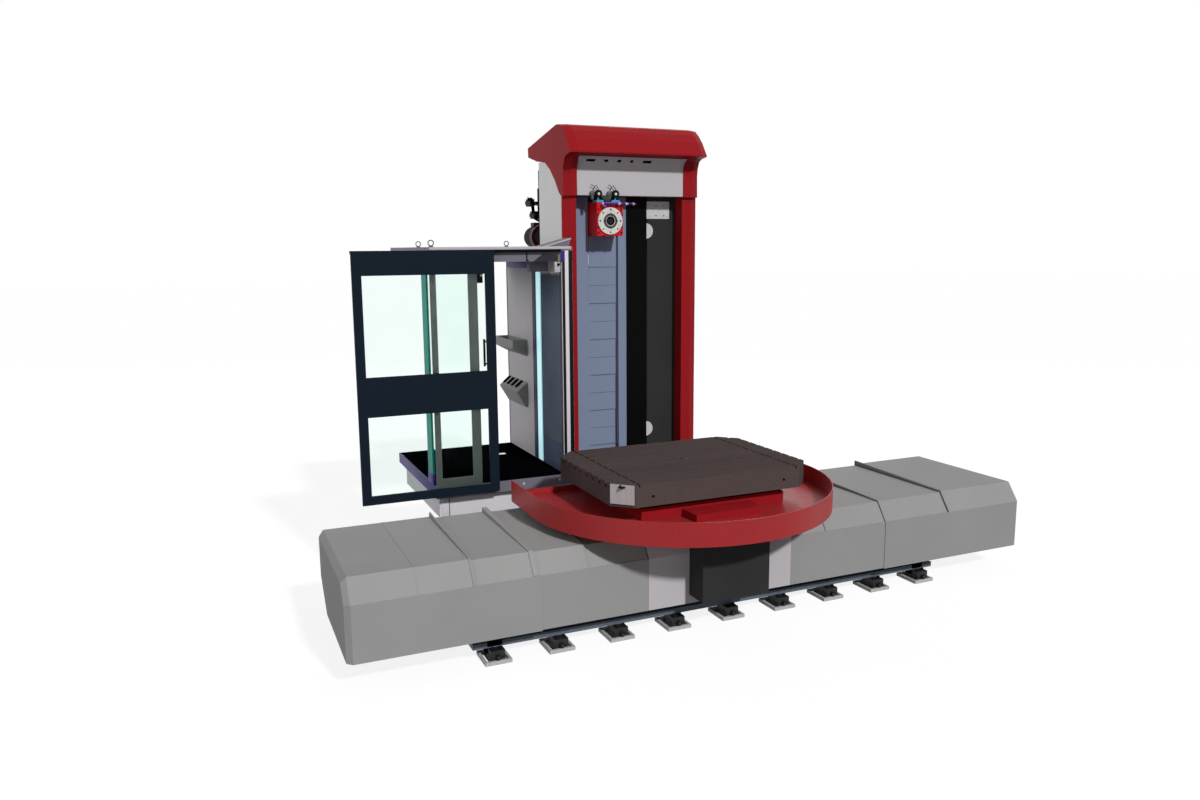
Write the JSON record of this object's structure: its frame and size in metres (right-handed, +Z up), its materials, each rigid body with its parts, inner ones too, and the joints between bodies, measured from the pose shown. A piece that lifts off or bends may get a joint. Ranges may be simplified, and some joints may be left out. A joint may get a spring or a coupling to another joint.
{
  "type": "horizontal boring mill",
  "caption": "Floor-standing horizontal boring mill: covered table bed, rotary table in a round red chip tray, red travelling column with spindle head and operator cabin.",
  "frame": {"origin": "centre of the bounding box on the floor", "axes": "+X along the table bed to the right, +Y away from the operator along the rear bed, +Z up"},
  "size_m": [6.78, 5.6528, 4.572],
  "materials": {
    "bed_paint": "satin blue-grey paint",
    "ground_steel": "ground steel",
    "zinc_tray": "light grey paint",
    "jack_black": "black paint",
    "cover_grey": "fine textured grey paint",
    "cast_grey": "painted casting",
    "panel_light": "light grey paint",
    "panel_white": "off-white paint",
    "frame_shade": "mid grey paint",
    "charcoal": "dark grey paint",
    "red_paint": "gloss dark red paint",
    "table_iron": "machined dark iron",
    "gear_bronze": "machined bronze",
    "blue_grey": "satin blue-grey paint",
    "gloss_black": "gloss black",
    "steel_plate": "bright plate",
    "bright_red": "gloss red paint",
    "sleeve_white": "ground bright steel",
    "hose_blue": "moulded blue",
    "block_blue": "satin light blue",
    "motor_dark": "satin dark grey",
    "black_parts": "satin black",
    "fascia_grey": "satin grey",
    "rubber_black": "ribbed black rubber",
    "frame_light": "light grey paint",
    "pane_glass": "clear pale green",
    "navy_paint": "satin navy paint",
    "teal_paint": "satin teal paint",
    "light_strip": "diffuser"
  },
  "bodies": {
    "base": {"bed_x": "bed_paint", "bed_rear": "bed_paint", "bed_ways": "ground_steel", "bed_screws": "ground_steel", "foot_trays": "zinc_tray", "foot_jacks": "jack_black", "cover_ends": "cover_grey"},
    "saddle_body": {"cover_inner": "cover_grey", "saddle": "cast_grey", "saddle_apron": "panel_light", "chip_tray": "red_paint", "drive_housing": "charcoal", "table_base": "red_paint"},
    "cover_left_outer": {"cover_left_1": "cover_grey"},
    "cover_left_mid": {"cover_left_2": "cover_grey"},
    "cover_right_outer": {"cover_right_1": "cover_grey"},
    "cover_right_mid": {"cover_right_2": "cover_grey"},
    "table_body": {"table": "table_iron", "table_gear": "gear_bronze"},
    "worm_body": {"table_worm": "ground_steel"},
    "column_body": {"column": "charcoal", "column_frame": "red_paint", "hood": "red_paint", "hood_panel": "panel_light", "side_panels": "panel_white", "way_strips": "blue_grey", "recess_panel": "gloss_black", "column_fittings": "steel_plate", "column_rails": "ground_steel", "platform": "fascia_grey", "floor_mat": "rubber_black", "platform_beam": "frame_light", "cabin_wall": "panel_light", "cabin_roof": "fascia_grey", "door_track": "black_parts", "cabin_panes": "pane_glass", "front_frame": "frame_shade", "corner_post": "teal_paint", "light_bar": "light_strip", "wall_holders": "cover_grey", "eye_bolts": "frame_shade"},
    "head_body": {"headstock": "charcoal", "nose_box": "bright_red", "nose_apron": "blue_grey", "coolant_blocks": "block_blue", "spindle_motor": "motor_dark", "clamp_unit": "black_parts"},
    "sleeve_body": {"milling_sleeve": "sleeve_white"},
    "quill_body": {"boring_spindle": "ground_steel"},
    "hose_body": {"coolant_hose": "hose_blue"},
    "door_body": {"door_frame": "navy_paint", "door_panes": "pane_glass", "door_handle": "black_parts"},
    "slot_cover_1": {"way_cover_1": "blue_grey"},
    "slot_cover_2": {"way_cover_2": "blue_grey"},
    "slot_cover_3": {"way_cover_3": "blue_grey"},
    "slot_cover_4": {"way_cover_4": "blue_grey"},
    "slot_cover_5": {"way_cover_5": "blue_grey"}
  },
  "joints": [
    {"name": "saddle_slide", "type": "slide", "parent": "base", "child": "saddle_body", "axis": [1, 0, 0], "range_m": [-1.1, 1.4]},
    {"name": "cover_left_outer_slide", "type": "slide", "parent": "base", "child": "cover_left_outer", "axis": [1, 0, 0], "range_m": [-0.369, 0.4695]},
    {"name": "cover_left_mid_slide", "type": "slide", "parent": "base", "child": "cover_left_mid", "axis": [1, 0, 0], "range_m": [-0.7034, 0.8951]},
    {"name": "cover_right_outer_slide", "type": "slide", "parent": "base", "child": "cover_right_outer", "axis": [1, 0, 0], "range_m": [-0.3635, 0.4625]},
    {"name": "cover_right_mid_slide", "type": "slide", "parent": "base", "child": "cover_right_mid", "axis": [1, 0, 0], "range_m": [-0.8145, 1.0365]},
    {"name": "table_turn", "type": "hinge", "parent": "saddle_body", "child": "table_body", "pos_m": [-0.15, -1.3935, 1.146], "axis": [0, 0, 1], "continuous": true},
    {"name": "worm_turn", "type": "hinge", "parent": "saddle_body", "child": "worm_body", "pos_m": [-0.15, -1.8979, 1.077], "axis": [1, 0, 0], "continuous": true},
    {"name": "column_slide", "type": "slide", "parent": "base", "child": "column_body", "axis": [0, 1, 0], "range_m": [0, 1.25]},
    {"name": "head_slide", "type": "slide", "parent": "column_body", "child": "head_body", "axis": [0, 0, 1], "range_m": [-2, 0]},
    {"name": "slot_cover_1_slide", "type": "slide", "parent": "column_body", "child": "slot_cover_1", "axis": [0, 0, 1], "range_m": [-1.7105, 0.0005]},
    {"name": "slot_cover_2_slide", "type": "slide", "parent": "column_body", "child": "slot_cover_2", "axis": [0, 0, 1], "range_m": [-1.3685, 0.0005]},
    {"name": "slot_cover_3_slide", "type": "slide", "parent": "column_body", "child": "slot_cover_3", "axis": [0, 0, 1], "range_m": [-1.0265, 0.0005]},
    {"name": "slot_cover_4_slide", "type": "slide", "parent": "column_body", "child": "slot_cover_4", "axis": [0, 0, 1], "range_m": [-0.6845, 0.0005]},
    {"name": "slot_cover_5_slide", "type": "slide", "parent": "column_body", "child": "slot_cover_5", "axis": [0, 0, 1], "range_m": [-0.3425, 0.0005]},
    {"name": "sleeve_turn", "type": "hinge", "parent": "head_body", "child": "sleeve_body", "pos_m": [-0.15, 0.1815, 3.58], "axis": [0, 1, 0], "continuous": true},
    {"name": "quill_slide", "type": "slide", "parent": "sleeve_body", "child": "quill_body", "axis": [0, 1, 0], "range_m": [-0.7, 0]},
    {"name": "hose_swing", "type": "hinge", "parent": "head_body", "child": "hose_body", "pos_m": [-0.23, 0.1485, 3.757], "axis": [0, 0, 1], "range_deg": [-60, 0]},
    {"name": "door_slide", "type": "slide", "parent": "column_body", "child": "door_body", "axis": [1, 0, 0], "range_m": [0, 0.62]}
  ],
  "couplings": [
    {"joint": "cover_left_outer_slide", "follows": "saddle_slide", "ratio": 0.335},
    {"joint": "cover_left_mid_slide", "follows": "saddle_slide", "ratio": 0.639},
    {"joint": "cover_right_outer_slide", "follows": "saddle_slide", "ratio": 0.33},
    {"joint": "cover_right_mid_slide", "follows": "saddle_slide", "ratio": 0.74},
    {"joint": "worm_turn", "follows": "table_turn", "ratio": 90},
    {"joint": "slot_cover_1_slide", "follows": "head_slide", "ratio": 0.855},
    {"joint": "slot_cover_2_slide", "follows": "head_slide", "ratio": 0.684},
    {"joint": "slot_cover_3_slide", "follows": "head_slide", "ratio": 0.513},
    {"joint": "slot_cover_4_slide", "follows": "head_slide", "ratio": 0.342},
    {"joint": "slot_cover_5_slide", "follows": "head_slide", "ratio": 0.171}
  ]
}
